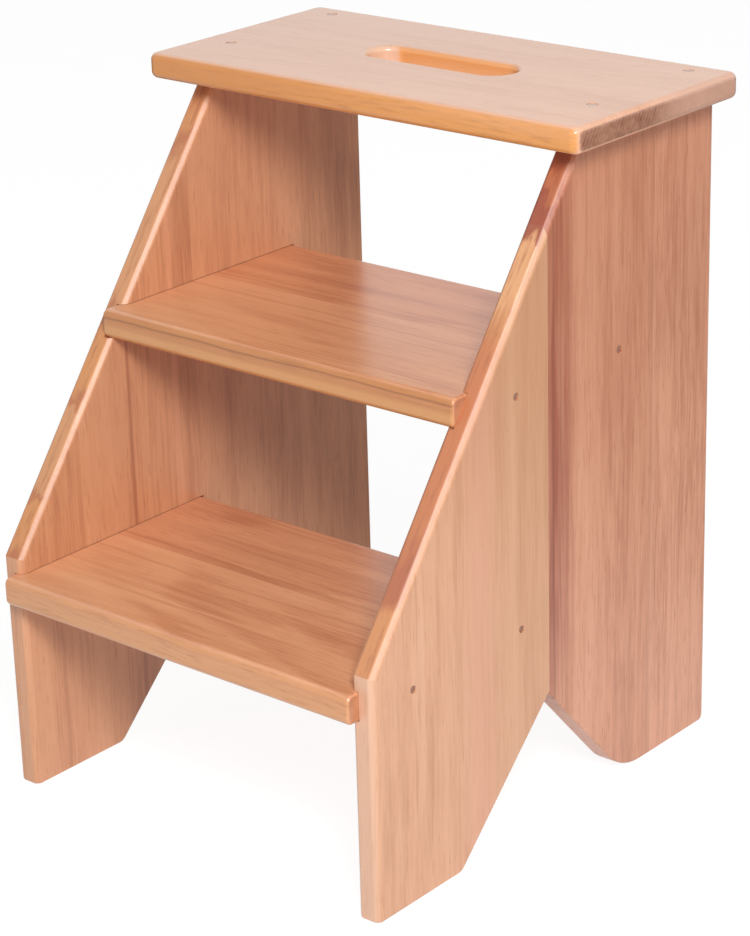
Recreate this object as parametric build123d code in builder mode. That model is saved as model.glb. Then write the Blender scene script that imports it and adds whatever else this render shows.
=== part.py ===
import os

from build123d import *

# Driving dimensions, in millimetres

# Boards and heights
board_thickness = 18.5
tread_thickness = 21.0
overall_height = 501.0
middle_tread_height = 337.0
bottom_tread_height = 167.5
outer_width = 343.0

# Side panels, each edge glued from a front, a middle and a rear board
front_board_width = 188.5
middle_board_width = 122.25
rear_board_width = 70.25
slant_start_height = 179.0
side_depth_at_top = 156.5
front_foot_length = 89.0
rear_foot_length = 104.0
notch_height = 96.5
front_toe_radius = 9.0
rear_toe_radius = 50.0
heel_radius = 5.0
front_edge_chamfer = 3.4
chamfer_easing = 3.0
foot_easing = 2.0

# Treads, each edge glued from a front stave and a rear stave
bottom_nosing = 11.0
front_stave_width = 107.0
tread_roundover = 5.0
tread_end_easing = 2.5
housing_depth = 7.0
housing_clearance = 0.2

# Top board and its hand slot
top_side_overhang = 20.5
top_front_overhang = 31.0
top_rear_overhang = 1.5
top_corner_radius = 7.0
top_roundover = 5.0
slot_length = 128.0
slot_width = 33.5
slot_roundover = 4.0
slot_rear_offset = 5.5

# Wood plugs, small ones in the sides and larger ones in the top board
side_plug_diameter = 5.5
top_plug_diameter = 8.0
plug_length = 6.0
plug_chamfer = 0.5
plug_clearance = 0.05

# Countersunk wood screws, with trim heads in the sides and full heads in the top board
screw_length = 45.0
screw_shank_length = 16.0
screw_tip_length = 5.0
screw_pitch = 2.0
screw_diameter = 4.0
screw_core_diameter = 2.8
trim_head_diameter = 5.0
full_head_diameter = 7.4
screw_head_rim = 0.5
trim_recess_length = 2.8
full_recess_length = 4.0
screw_recess_width = 0.9
screw_recess_depth = 1.2
screw_clearance = 0.1
screw_tip_clearance = 1.0

# Distances of the fixings from the edges of the boards
tread_screw_front_setback = 52.0
tread_screw_rear_setback = 31.0
top_screw_front_setback = 26.5
top_screw_rear_setback = 17.0

# How far a cutting profile runs out past an open edge, and how deep a section is that trims a whole side
cut_margin = 25.0
cut_depth = 1000.0

# Sizes and places that follow from the driving dimensions

# Heights of the undersides of the treads and the top board
bottom_tread_under_z = bottom_tread_height - tread_thickness
middle_tread_under_z = middle_tread_height - tread_thickness
side_top_z = overall_height - board_thickness

# Depths, from the middle of the whole object, with the front at negative Y
side_depth = front_board_width + middle_board_width + rear_board_width
overall_depth = bottom_nosing + side_depth + top_rear_overhang
bottom_tread_front_y = -overall_depth / 2
side_front_y = bottom_tread_front_y + bottom_nosing
front_joint_y = side_front_y + front_board_width
rear_joint_y = front_joint_y + middle_board_width
side_rear_y = side_front_y + side_depth
front_toe_y = side_front_y + front_foot_length
rear_toe_y = side_rear_y - rear_foot_length
slant_end_y = side_rear_y - side_depth_at_top
top_depth = top_front_overhang + side_depth_at_top + top_rear_overhang
top_middle_y = side_rear_y + top_rear_overhang - top_depth / 2

# Slanted front edge of the sides: depth gained for each unit of height
slant_run = (slant_end_y - side_front_y) / (side_top_z - slant_start_height)
slant_joint_z = slant_start_height + (front_joint_y - side_front_y) / slant_run

# The bottom tread ends at the front glue joint of the sides, and the middle tread is as deep, with its lower
# front edge flush with the slanted edges
tread_depth = bottom_nosing + front_board_width
bottom_tread_rear_y = bottom_tread_front_y + tread_depth
middle_tread_front_y = side_front_y + (middle_tread_under_z - slant_start_height) * slant_run
middle_tread_rear_y = middle_tread_front_y + tread_depth
bottom_stave_joint_y = bottom_tread_front_y + front_stave_width
middle_stave_joint_y = middle_tread_front_y + front_stave_width

# Widths
side_outer_x = outer_width / 2
side_inner_x = side_outer_x - board_thickness
side_middle_x = side_outer_x - board_thickness / 2
tread_end_x = side_inner_x + housing_depth
tread_length = 2 * tread_end_x
top_length = outer_width + 2 * top_side_overhang

# Axes of the fixings
bottom_screw_z = bottom_tread_height - tread_thickness / 2
middle_screw_z = middle_tread_height - tread_thickness / 2
bottom_front_screw_y = bottom_tread_front_y + tread_screw_front_setback
bottom_rear_screw_y = bottom_tread_rear_y - tread_screw_rear_setback
middle_front_screw_y = middle_tread_front_y + tread_screw_front_setback
middle_rear_screw_y = middle_tread_rear_y - tread_screw_rear_setback
top_front_screw_y = slant_end_y + top_screw_front_setback
top_rear_screw_y = side_rear_y - top_screw_rear_setback

# Fit of the fixings: a screw head seats in the floor of its plug hole, and the plug rests on it
plug_hole_depth = plug_length + screw_head_rim
side_plug_hole_radius = side_plug_diameter / 2 + plug_clearance
top_plug_hole_radius = top_plug_diameter / 2 + plug_clearance
screw_radius = screw_diameter / 2
screw_core_radius = screw_core_diameter / 2
screw_hole_radius = screw_radius + screw_clearance
tread_pilot_depth = plug_length + screw_length + screw_tip_clearance - (board_thickness - housing_depth)
side_pilot_depth = plug_length + screw_length + screw_tip_clearance - board_thickness
thread_turns = int((screw_length - screw_tip_length - screw_shank_length) // screw_pitch)
thread_start_depth = screw_length - screw_tip_length - thread_turns * screw_pitch

# Planes square to the upright and to the slanted front edge of the sides, facing up along it
upright_section = Plane(origin=(0, side_front_y, 0), x_dir=(1, 0, 0), z_dir=(0, 0, 1))
slanted_section = Plane(
    origin=(0, side_front_y, slant_start_height), x_dir=(1, 0, 0), z_dir=(0, slant_run, 1)
)

# Slack for telling edges apart by position
near = 0.01

os.makedirs("parts", exist_ok=True)


def right_plane(x, y, z):
    """Plane that faces right, at a point of the right side or of a tread's right end."""
    return Plane(origin=(x, y, z), x_dir=(0, 1, 0), z_dir=(1, 0, 0))


def left_plane(x, y, z):
    """Plane that faces left, at a point of a tread's left end."""
    return Plane(origin=(x, y, z), x_dir=(0, -1, 0), z_dir=(-1, 0, 0))


def upward_plane(x, y, z):
    """Plane that faces up, at a point of the top board or of a side's upper edge."""
    return Plane(origin=(x, y, z), x_dir=(1, 0, 0), z_dir=(0, 0, 1))


def front_edge_section():
    """Section through a side, square to its front edge, with the edge's two eased chamfers."""
    Polygon(
        (side_inner_x, cut_depth),
        (side_inner_x, front_edge_chamfer),
        (side_inner_x + front_edge_chamfer, 0),
        (side_outer_x - front_edge_chamfer, 0),
        (side_outer_x, front_edge_chamfer),
        (side_outer_x, cut_depth),
        align=None,
    )
    fillet(vertices().group_by(Axis.Y)[0] + vertices().group_by(Axis.Y)[1], chamfer_easing)


def on_floor(some_edges):
    """Edges that lie on the floor."""
    return [edge for edge in some_edges if abs(edge.center().Z) < near]


def housing_outline(rear_y, under_z):
    """Outline of a tread's housing, open at the front, in the sketch at hand."""
    with Locations((rear_y, under_z)):
        Rectangle(
            tread_depth + cut_margin,
            tread_thickness + housing_clearance,
            align=(Align.MAX, Align.MIN),
        )


def wood_screw(head_diameter, recess_length):
    """One countersunk screw, head up at the origin, with ridges that stand in for its thread."""
    head_radius = head_diameter / 2
    thread_points = [(screw_radius, -screw_shank_length), (screw_core_radius, -thread_start_depth)]
    for turn in range(thread_turns):
        ridge_depth = thread_start_depth + (turn + 0.5) * screw_pitch
        groove_depth = thread_start_depth + (turn + 1) * screw_pitch
        thread_points += [(screw_radius, -ridge_depth), (screw_core_radius, -groove_depth)]
    with BuildPart() as screw:
        with BuildSketch(Plane.XZ):
            with BuildLine():
                Polyline(
                    (0, 0),
                    (head_radius, 0),
                    (head_radius, -screw_head_rim),
                    (screw_radius, -screw_head_rim - head_radius + screw_radius),
                    *thread_points,
                    (0, -screw_length),
                    close=True,
                )
            make_face()
        revolve(axis=Axis.Z)
        with BuildSketch():
            Rectangle(recess_length, screw_recess_width)
            Rectangle(screw_recess_width, recess_length)
        extrude(amount=-screw_recess_depth, mode=Mode.SUBTRACT)
    return screw.part


# Points of the fixings on the right half: depth and height in the sides, depth in the top board
bottom_fixings = [(bottom_front_screw_y, bottom_screw_z), (bottom_rear_screw_y, bottom_screw_z)]
middle_fixings = [(middle_front_screw_y, middle_screw_z), (middle_rear_screw_y, middle_screw_z)]
front_board_fixings = bottom_fixings + middle_fixings[:1]
rear_boards_fixings = middle_fixings[1:]
top_fixings = [top_front_screw_y, top_rear_screw_y]

# Right side, front board with the front leg
with BuildPart() as right_side_front_board:
    with BuildSketch(Plane.YZ.offset(side_inner_x)):
        with BuildLine():
            Polyline(
                (side_front_y, 0),
                (front_toe_y, 0),
                (front_joint_y, notch_height),
                (front_joint_y, slant_joint_z),
                (side_front_y, slant_start_height),
                close=True,
            )
        make_face()
        fillet(vertices().sort_by_distance((front_toe_y, 0))[0], front_toe_radius)
    extrude(amount=board_thickness)
    with BuildSketch(upright_section):
        front_edge_section()
    extrude(amount=cut_depth, both=True, mode=Mode.INTERSECT)
    with BuildSketch(slanted_section):
        front_edge_section()
    extrude(amount=cut_depth, both=True, mode=Mode.INTERSECT)
    rim = edges().group_by(Axis.X)[0] + edges().group_by(Axis.X)[-1]
    fillet(on_floor(rim), foot_easing)
    with BuildSketch(Plane.YZ.offset(side_inner_x)):
        housing_outline(bottom_tread_rear_y, bottom_tread_under_z)
        housing_outline(middle_tread_rear_y, middle_tread_under_z)
    extrude(amount=housing_depth, mode=Mode.SUBTRACT)
    with Locations(*[right_plane(side_outer_x, y, z) for y, z in front_board_fixings]):
        CounterBoreHole(screw_hole_radius, side_plug_hole_radius, plug_hole_depth, board_thickness)
    with Locations(*[right_plane(side_outer_x - plug_hole_depth, y, z) for y, z in front_board_fixings]):
        CounterSinkHole(screw_hole_radius, trim_head_diameter / 2, board_thickness, 90)

# Right side, middle and rear boards with the rear leg, as they are glued up
with BuildPart() as right_side_rear_boards:
    with BuildSketch(Plane.YZ.offset(side_inner_x)):
        with BuildLine():
            Polyline(
                (front_joint_y, notch_height),
                (rear_toe_y, 0),
                (side_rear_y, 0),
                (side_rear_y, side_top_z),
                (slant_end_y, side_top_z),
                (front_joint_y, slant_joint_z),
                close=True,
            )
        make_face()
        fillet(vertices().sort_by_distance((rear_toe_y, 0))[0], rear_toe_radius)
        fillet(vertices().sort_by_distance((side_rear_y, 0))[0], heel_radius)
    extrude(amount=board_thickness)
    with BuildSketch(slanted_section):
        front_edge_section()
    extrude(amount=cut_depth, both=True, mode=Mode.INTERSECT)
    rim = edges().group_by(Axis.X)[0] + edges().group_by(Axis.X)[-1]
    fillet(on_floor(rim), foot_easing)
    with BuildSketch(Plane.YZ.offset(side_inner_x)):
        housing_outline(middle_tread_rear_y, middle_tread_under_z)
    extrude(amount=housing_depth, mode=Mode.SUBTRACT)
    with Locations(*[right_plane(side_outer_x, y, z) for y, z in rear_boards_fixings]):
        CounterBoreHole(screw_hole_radius, side_plug_hole_radius, plug_hole_depth, board_thickness)
    with Locations(*[right_plane(side_outer_x - plug_hole_depth, y, z) for y, z in rear_boards_fixings]):
        CounterSinkHole(screw_hole_radius, trim_head_diameter / 2, board_thickness, 90)
    with Locations(*[upward_plane(side_middle_x, y, side_top_z) for y in top_fixings]):
        Hole(screw_hole_radius, side_pilot_depth)

with BuildPart() as right_side_middle_board:
    add(right_side_rear_boards.part)
    split(bisect_by=Plane.XZ.offset(-rear_joint_y), keep=Keep.TOP)

with BuildPart() as right_side_rear_board:
    add(right_side_rear_boards.part)
    split(bisect_by=Plane.XZ.offset(-rear_joint_y), keep=Keep.BOTTOM)

# Left side, a mirror image of the right side
with BuildPart() as left_side_front_board:
    mirror(right_side_front_board.part, about=Plane.YZ)

with BuildPart() as left_side_middle_board:
    mirror(right_side_middle_board.part, about=Plane.YZ)

with BuildPart() as left_side_rear_board:
    mirror(right_side_rear_board.part, about=Plane.YZ)

# Bottom tread as it is glued up, and its two staves
with BuildPart() as bottom_tread:
    with BuildSketch(Plane.YZ.offset(-tread_end_x)):
        with Locations((bottom_tread_front_y + tread_depth / 2, bottom_screw_z)):
            RectangleRounded(tread_depth, tread_thickness, tread_roundover)
    extrude(amount=tread_length)
    fillet(edges().group_by(Axis.X)[0] + edges().group_by(Axis.X)[-1], tread_end_easing)
    with Locations(*[right_plane(tread_end_x, y, z) for y, z in bottom_fixings]):
        Hole(screw_hole_radius, tread_pilot_depth)
    with Locations(*[left_plane(-tread_end_x, y, z) for y, z in bottom_fixings]):
        Hole(screw_hole_radius, tread_pilot_depth)

with BuildPart() as bottom_tread_front_stave:
    add(bottom_tread.part)
    split(bisect_by=Plane.XZ.offset(-bottom_stave_joint_y), keep=Keep.TOP)

with BuildPart() as bottom_tread_rear_stave:
    add(bottom_tread.part)
    split(bisect_by=Plane.XZ.offset(-bottom_stave_joint_y), keep=Keep.BOTTOM)

# Middle tread as it is glued up, and its two staves
with BuildPart() as middle_tread:
    with BuildSketch(Plane.YZ.offset(-tread_end_x)):
        with Locations((middle_tread_front_y + tread_depth / 2, middle_screw_z)):
            RectangleRounded(tread_depth, tread_thickness, tread_roundover)
    extrude(amount=tread_length)
    fillet(edges().group_by(Axis.X)[0] + edges().group_by(Axis.X)[-1], tread_end_easing)
    with Locations(*[right_plane(tread_end_x, y, z) for y, z in middle_fixings]):
        Hole(screw_hole_radius, tread_pilot_depth)
    with Locations(*[left_plane(-tread_end_x, y, z) for y, z in middle_fixings]):
        Hole(screw_hole_radius, tread_pilot_depth)

with BuildPart() as middle_tread_front_stave:
    add(middle_tread.part)
    split(bisect_by=Plane.XZ.offset(-middle_stave_joint_y), keep=Keep.TOP)

with BuildPart() as middle_tread_rear_stave:
    add(middle_tread.part)
    split(bisect_by=Plane.XZ.offset(-middle_stave_joint_y), keep=Keep.BOTTOM)

# Top board with the hand slot
with BuildPart() as top_board:
    with BuildSketch(Plane.XY.offset(side_top_z)):
        with Locations((0, top_middle_y)):
            RectangleRounded(top_length, top_depth, top_corner_radius)
    extrude(amount=board_thickness)
    fillet(edges().group_by(Axis.Z)[0] + edges().group_by(Axis.Z)[-1], top_roundover)
    with BuildSketch(Plane.XY.offset(side_top_z)):
        with Locations((0, top_middle_y + slot_rear_offset)):
            SlotOverall(slot_length, slot_width)
    extrude(amount=board_thickness, mode=Mode.SUBTRACT)
    slot_rim = edges(Select.LAST).group_by(Axis.Z)[0] + edges(Select.LAST).group_by(Axis.Z)[-1]
    fillet(slot_rim, slot_roundover)
    both_sides_x = [-side_middle_x, side_middle_x]
    with Locations(*[upward_plane(x, y, overall_height) for x in both_sides_x for y in top_fixings]):
        CounterBoreHole(screw_hole_radius, top_plug_hole_radius, plug_hole_depth, board_thickness)
    seat_z = overall_height - plug_hole_depth
    with Locations(*[upward_plane(x, y, seat_z) for x in both_sides_x for y in top_fixings]):
        CounterSinkHole(screw_hole_radius, full_head_diameter / 2, board_thickness, 90)

# Wood plugs that cover the screw heads
with BuildPart() as right_bottom_tread_plugs:
    with Locations(*[right_plane(side_outer_x, y, z) for y, z in bottom_fixings]):
        Cylinder(side_plug_diameter / 2, plug_length, align=(Align.CENTER, Align.CENTER, Align.MAX))
    chamfer(edges().group_by(Axis.X)[0], plug_chamfer)

with BuildPart() as left_bottom_tread_plugs:
    mirror(right_bottom_tread_plugs.part, about=Plane.YZ)

with BuildPart() as right_middle_tread_plugs:
    with Locations(*[right_plane(side_outer_x, y, z) for y, z in middle_fixings]):
        Cylinder(side_plug_diameter / 2, plug_length, align=(Align.CENTER, Align.CENTER, Align.MAX))
    chamfer(edges().group_by(Axis.X)[0], plug_chamfer)

with BuildPart() as left_middle_tread_plugs:
    mirror(right_middle_tread_plugs.part, about=Plane.YZ)

with BuildPart() as right_top_plugs:
    with Locations(*[upward_plane(side_middle_x, y, overall_height) for y in top_fixings]):
        Cylinder(top_plug_diameter / 2, plug_length, align=(Align.CENTER, Align.CENTER, Align.MAX))
    chamfer(edges().group_by(Axis.Z)[0], plug_chamfer)

with BuildPart() as left_top_plugs:
    mirror(right_top_plugs.part, about=Plane.YZ)

# Screws, two at each joint
trim_screw = wood_screw(trim_head_diameter, trim_recess_length)
full_screw = wood_screw(full_head_diameter, full_recess_length)

with BuildPart() as right_bottom_tread_screws:
    with Locations(*[right_plane(side_outer_x - plug_length, y, z) for y, z in bottom_fixings]):
        add(trim_screw)

with BuildPart() as left_bottom_tread_screws:
    mirror(right_bottom_tread_screws.part, about=Plane.YZ)

with BuildPart() as right_middle_tread_screws:
    with Locations(*[right_plane(side_outer_x - plug_length, y, z) for y, z in middle_fixings]):
        add(trim_screw)

with BuildPart() as left_middle_tread_screws:
    mirror(right_middle_tread_screws.part, about=Plane.YZ)

with BuildPart() as right_top_screws:
    with Locations(*[upward_plane(side_middle_x, y, overall_height - plug_length) for y in top_fixings]):
        add(full_screw)

with BuildPart() as left_top_screws:
    mirror(right_top_screws.part, about=Plane.YZ)

# Names and files
top_board.part.label = "top_board"
export_step(top_board.part, "parts/top_board.step")

middle_tread_front_stave.part.label = "middle_tread_front_stave"
export_step(middle_tread_front_stave.part, "parts/middle_tread_front_stave.step")

middle_tread_rear_stave.part.label = "middle_tread_rear_stave"
export_step(middle_tread_rear_stave.part, "parts/middle_tread_rear_stave.step")

bottom_tread_front_stave.part.label = "bottom_tread_front_stave"
export_step(bottom_tread_front_stave.part, "parts/bottom_tread_front_stave.step")

bottom_tread_rear_stave.part.label = "bottom_tread_rear_stave"
export_step(bottom_tread_rear_stave.part, "parts/bottom_tread_rear_stave.step")

left_side_front_board.part.label = "left_side_front_board"
export_step(left_side_front_board.part, "parts/left_side_front_board.step")

left_side_middle_board.part.label = "left_side_middle_board"
export_step(left_side_middle_board.part, "parts/left_side_middle_board.step")

left_side_rear_board.part.label = "left_side_rear_board"
export_step(left_side_rear_board.part, "parts/left_side_rear_board.step")

right_side_front_board.part.label = "right_side_front_board"
export_step(right_side_front_board.part, "parts/right_side_front_board.step")

right_side_middle_board.part.label = "right_side_middle_board"
export_step(right_side_middle_board.part, "parts/right_side_middle_board.step")

right_side_rear_board.part.label = "right_side_rear_board"
export_step(right_side_rear_board.part, "parts/right_side_rear_board.step")

left_top_plugs.part.label = "left_top_plugs"
export_step(left_top_plugs.part, "parts/left_top_plugs.step")

right_top_plugs.part.label = "right_top_plugs"
export_step(right_top_plugs.part, "parts/right_top_plugs.step")

left_middle_tread_plugs.part.label = "left_middle_tread_plugs"
export_step(left_middle_tread_plugs.part, "parts/left_middle_tread_plugs.step")

right_middle_tread_plugs.part.label = "right_middle_tread_plugs"
export_step(right_middle_tread_plugs.part, "parts/right_middle_tread_plugs.step")

left_bottom_tread_plugs.part.label = "left_bottom_tread_plugs"
export_step(left_bottom_tread_plugs.part, "parts/left_bottom_tread_plugs.step")

right_bottom_tread_plugs.part.label = "right_bottom_tread_plugs"
export_step(right_bottom_tread_plugs.part, "parts/right_bottom_tread_plugs.step")

left_top_screws.part.label = "left_top_screws"
export_step(left_top_screws.part, "parts/left_top_screws.step")

right_top_screws.part.label = "right_top_screws"
export_step(right_top_screws.part, "parts/right_top_screws.step")

left_middle_tread_screws.part.label = "left_middle_tread_screws"
export_step(left_middle_tread_screws.part, "parts/left_middle_tread_screws.step")

right_middle_tread_screws.part.label = "right_middle_tread_screws"
export_step(right_middle_tread_screws.part, "parts/right_middle_tread_screws.step")

left_bottom_tread_screws.part.label = "left_bottom_tread_screws"
export_step(left_bottom_tread_screws.part, "parts/left_bottom_tread_screws.step")

right_bottom_tread_screws.part.label = "right_bottom_tread_screws"
export_step(right_bottom_tread_screws.part, "parts/right_bottom_tread_screws.step")
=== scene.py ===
"""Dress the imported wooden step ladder: lacquered boards, plugs, screws, and a plain pale studio."""

import logging
import math
from dataclasses import asdict, dataclass
from enum import Enum
from typing import Any, Union

import bpy
from mathutils import Matrix, Vector


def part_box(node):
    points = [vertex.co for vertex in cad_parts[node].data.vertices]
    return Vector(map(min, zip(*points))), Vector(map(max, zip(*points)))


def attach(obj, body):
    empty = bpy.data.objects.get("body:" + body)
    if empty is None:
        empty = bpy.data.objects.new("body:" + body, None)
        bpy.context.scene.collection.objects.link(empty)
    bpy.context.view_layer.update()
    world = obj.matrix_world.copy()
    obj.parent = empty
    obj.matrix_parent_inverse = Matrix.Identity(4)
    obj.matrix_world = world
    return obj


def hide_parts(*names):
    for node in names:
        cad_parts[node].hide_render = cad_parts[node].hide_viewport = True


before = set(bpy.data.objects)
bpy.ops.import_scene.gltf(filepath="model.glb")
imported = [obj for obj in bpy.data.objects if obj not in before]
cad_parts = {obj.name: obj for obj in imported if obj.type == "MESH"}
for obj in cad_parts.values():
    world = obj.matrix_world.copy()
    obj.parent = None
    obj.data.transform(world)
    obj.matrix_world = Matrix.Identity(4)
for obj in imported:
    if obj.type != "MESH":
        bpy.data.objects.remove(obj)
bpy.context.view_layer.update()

LOG = logging.getLogger("step_ladder")
ROOT = "root"

Colour = tuple[float, float, float]
Number = Union[float, int]
Span = tuple[float, float]

WHITE: Colour = (1.0, 1.0, 1.0)

# Places that the boards share, in metres
FRONT_JOINT_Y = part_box("right_side_front_board")[1].y
REAR_JOINT_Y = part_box("right_side_rear_board")[0].y
SIDE_INNER_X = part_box("right_side_front_board")[0].x
SLANT_LOW_Z = 0.179
SLANT_HIGH_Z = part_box("right_side_middle_board")[1].z


class GrainRun(Enum):
    """The way the fibres of a board run in the part's frame: along, across and through it."""

    CROSSWISE = "XYZ"
    UPRIGHT = "ZYX"


class BoardWay(Enum):
    """A direction in a board, by its place among its grain run's axes."""

    ALONG = 0
    ACROSS = 1
    THROUGH = 2


class Shown(Enum):
    """The faces of a board that a stripe shows on."""

    ALL = "all"
    UP = "up"
    FRONT = "front"
    END = "end"


class Hand(Enum):
    """Which side of the ladder, seen from the front."""

    LEFT = "left"
    RIGHT = "right"

    @property
    def outward(self) -> float:
        """Sign of X on this side."""
        return 1.0 if self is Hand.RIGHT else -1.0


class SideBoard(Enum):
    """The boards of a side, from the front to the rear."""

    FRONT = "front_board"
    MIDDLE = "middle_board"
    REAR = "rear_board"


class FixedJoint(Enum):
    """The joints that plugs and screws hold on each side, from the top down."""

    TOP = "top"
    MIDDLE_TREAD = "middle_tread"
    BOTTOM_TREAD = "bottom_tread"


def srgb(red: int, green: int, blue: int) -> Colour:
    """Turn 0 to 255 display values into a linear colour, by the standard display curve.

    Args:
        red: Red display value.
        green: Green display value.
        blue: Blue display value.

    Returns:
        The linear red, green and blue.
    """

    def linear(value: int) -> float:
        """Linear value of one display channel."""
        share = value / 255
        return share / 12.92 if share <= 0.04045 else ((share + 0.055) / 1.055) ** 2.4

    return linear(red), linear(green), linear(blue)


class Wire:
    """A shader socket that takes part in Python arithmetic."""

    NOISE_MEAN = 0.5

    def __init__(self, bench: "Bench", socket: bpy.types.NodeSocket) -> None:
        """Wrap a socket.

        Args:
            bench: The bench that owns the node tree.
            socket: The output socket to wrap.
        """
        self.bench = bench
        self.socket = socket

    def _math(self, operation: str, *values: Union["Wire", Number]) -> "Wire":
        """Add one Math node for an operation on values."""
        return self.bench.add("ShaderNodeMath", {"operation": operation}, dict(enumerate(values)))

    def __add__(self, other: Union["Wire", Number]) -> "Wire":
        """Sum."""
        return self._math("ADD", self, other)

    def __radd__(self, other: Number) -> "Wire":
        """Sum with a number on the left."""
        return self._math("ADD", other, self)

    def __sub__(self, other: Union["Wire", Number]) -> "Wire":
        """Difference."""
        return self._math("SUBTRACT", self, other)

    def __rsub__(self, other: Number) -> "Wire":
        """Difference from a number on the left."""
        return self._math("SUBTRACT", other, self)

    def __mul__(self, other: Union["Wire", Number]) -> "Wire":
        """Product."""
        return self._math("MULTIPLY", self, other)

    def __rmul__(self, other: Number) -> "Wire":
        """Product with a number on the left."""
        return self._math("MULTIPLY", other, self)

    def __abs__(self) -> "Wire":
        """Absolute value."""
        return self._math("ABSOLUTE", self)

    def root(self) -> "Wire":
        """Square root."""
        return self._math("SQRT", self)

    def fraction(self) -> "Wire":
        """Part after the whole number."""
        return self._math("FRACT", self)

    def most(self, other: Union["Wire", Number]) -> "Wire":
        """The larger of two values."""
        return self._math("MAXIMUM", self, other)

    def swing(self) -> "Wire":
        """Difference of noise from its mean."""
        return self - self.NOISE_MEAN

    def ease(self, low: float, high: float) -> "Wire":
        """Rise smoothly from 0 at low to 1 at high, or fall where low is the larger.

        Args:
            low: Value where the result is 0.
            high: Value where the result is 1.

        Returns:
            The eased value.
        """
        settings = {"interpolation_type": "SMOOTHSTEP", "clamp": True}
        if low <= high:
            inputs = {"Value": self, "From Min": low, "From Max": high, "To Min": 0.0, "To Max": 1.0}
        else:
            inputs = {"Value": self, "From Min": high, "From Max": low, "To Min": 1.0, "To Max": 0.0}
        return self.bench.add("ShaderNodeMapRange", settings, inputs)


class Bench:
    """Adds nodes to one node tree."""

    MIX_INPUTS = {"factor": 0, "first": 6, "second": 7}
    MIX_RESULT = 2

    def __init__(self, tree: bpy.types.NodeTree) -> None:
        """Take over a node tree.

        Args:
            tree: The tree that new nodes go to.
        """
        self.tree = tree

    def add(self, kind: str, settings: dict[str, Any] | None = None,
            inputs: dict[Any, Any] | None = None, output: str | int = 0) -> Wire | None:
        """Add one node, with its settings first and its sockets after them.

        Args:
            kind: The node's type.
            settings: Attributes of the node; "stops" holds a ramp's positions and colours.
            inputs: Values or wires for sockets, by name or place.
            output: Name or place of the output to hand back.

        Returns:
            The chosen output as a wire, or nothing from a node without outputs.
        """
        node = self.tree.nodes.new(kind)
        for name, value in (settings or {}).items():
            if name == "stops":
                self._set_stops(node, value)
            else:
                setattr(node, name, value)
        for name, value in (inputs or {}).items():
            socket = node.inputs[name]
            if isinstance(value, Wire):
                self.tree.links.new(value.socket, socket)
            elif isinstance(value, tuple) and socket.type == "RGBA":
                socket.default_value = (*value, 1.0)
            else:
                socket.default_value = value
        return Wire(self, node.outputs[output]) if len(node.outputs) else None

    @staticmethod
    def _set_stops(node: bpy.types.Node, stops: list[tuple[float, Colour]]) -> None:
        """Set the stops of a colour ramp.

        Args:
            node: The ramp.
            stops: Place and colour of each stop.
        """
        elements = node.color_ramp.elements
        while len(elements) < len(stops):
            elements.new(1.0)
        for element, (place, colour) in zip(elements, stops):
            element.position = place
            element.color = (*colour, 1.0)

    def noise(self, place: Wire, detail: float = 2.0, roughness: float = 0.5) -> Wire:
        """Value noise around one half at a place.

        Args:
            place: A vector in which one unit is one cell.
            detail: Number of finer octaves.
            roughness: Weight of each finer octave.

        Returns:
            Noise from 0 to 1.
        """
        inputs = {"Vector": place, "Scale": 1.0, "Detail": detail, "Roughness": roughness}
        return self.add("ShaderNodeTexNoise", {"noise_dimensions": "3D"}, inputs)

    def vector(self, x: Any, y: Any, z: Any) -> Wire:
        """Join three values into a vector."""
        return self.add("ShaderNodeCombineXYZ", None, {0: x, 1: y, 2: z})

    def ramp(self, factor: Wire, stops: list[tuple[float, Colour]]) -> Wire:
        """Colour from a ramp of stops."""
        return self.add("ShaderNodeValToRGB", {"stops": stops}, {0: factor})

    def mix(self, factor: Any, first: Any, second: Any) -> Wire:
        """Mix two colours.

        Args:
            factor: Share of the second colour.
            first: Colour or wire at share 0.
            second: Colour or wire at share 1.

        Returns:
            The mixed colour.
        """
        settings = {"data_type": "RGBA", "blend_type": "MIX", "clamp_factor": True}
        values = {"factor": factor, "first": first, "second": second}
        inputs = {self.MIX_INPUTS[name]: value for name, value in values.items()}
        return self.add("ShaderNodeMix", settings, inputs, self.MIX_RESULT)

    def seen_white(self) -> Wire:
        """One where a ray comes from the eye, a gloss or clear material, else zero.

        Returns:
            One or zero.
        """
        rays = [self.add("ShaderNodeLightPath", None, None, f"Is {kind} Ray")
                for kind in ("Camera", "Glossy", "Transmission")]
        return rays[0].most(rays[1]).most(rays[2])


def new_material(name: str) -> tuple[bpy.types.Material, Bench]:
    """Make an empty node material.

    Args:
        name: The material's name.

    Returns:
        The material and a bench on its tree.
    """
    material = bpy.data.materials.new(name)
    material.use_nodes = True
    material.node_tree.nodes.clear()
    return material, Bench(material.node_tree)


@dataclass(frozen=True)
class Sawing:
    """How a board was sawn from its log, which sets the figure on its faces.

    The pith is the log's centre line, given by its distance from the part's middle line across the board
    and through its thickness, with a lean along the board, all in metres.
    """

    seed: float
    pith_across: float
    pith_through: float
    lean_across: float = 0.02
    lean_through: float = 0.03
    rings_per_metre: float = 40.0
    wander: float = 0.02


@dataclass(frozen=True)
class Stripe:
    """A stripe of another tone in a board, from one place to another in metres.

    It fades in along the board from low to high, or out where low is the larger, and starts across the
    board at behind. Where it is streaky, paler threads run through it.
    """

    start: float
    end: float
    tint: Colour
    share: float
    soft: float = 0.002
    soft_end: float = 0.002
    sway: float = 0.0
    low: float = -1.0
    high: float = -0.9
    way: BoardWay = BoardWay.ACROSS
    shown: Shown = Shown.ALL
    behind: float | None = None
    streaky: float = 0.0


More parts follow.
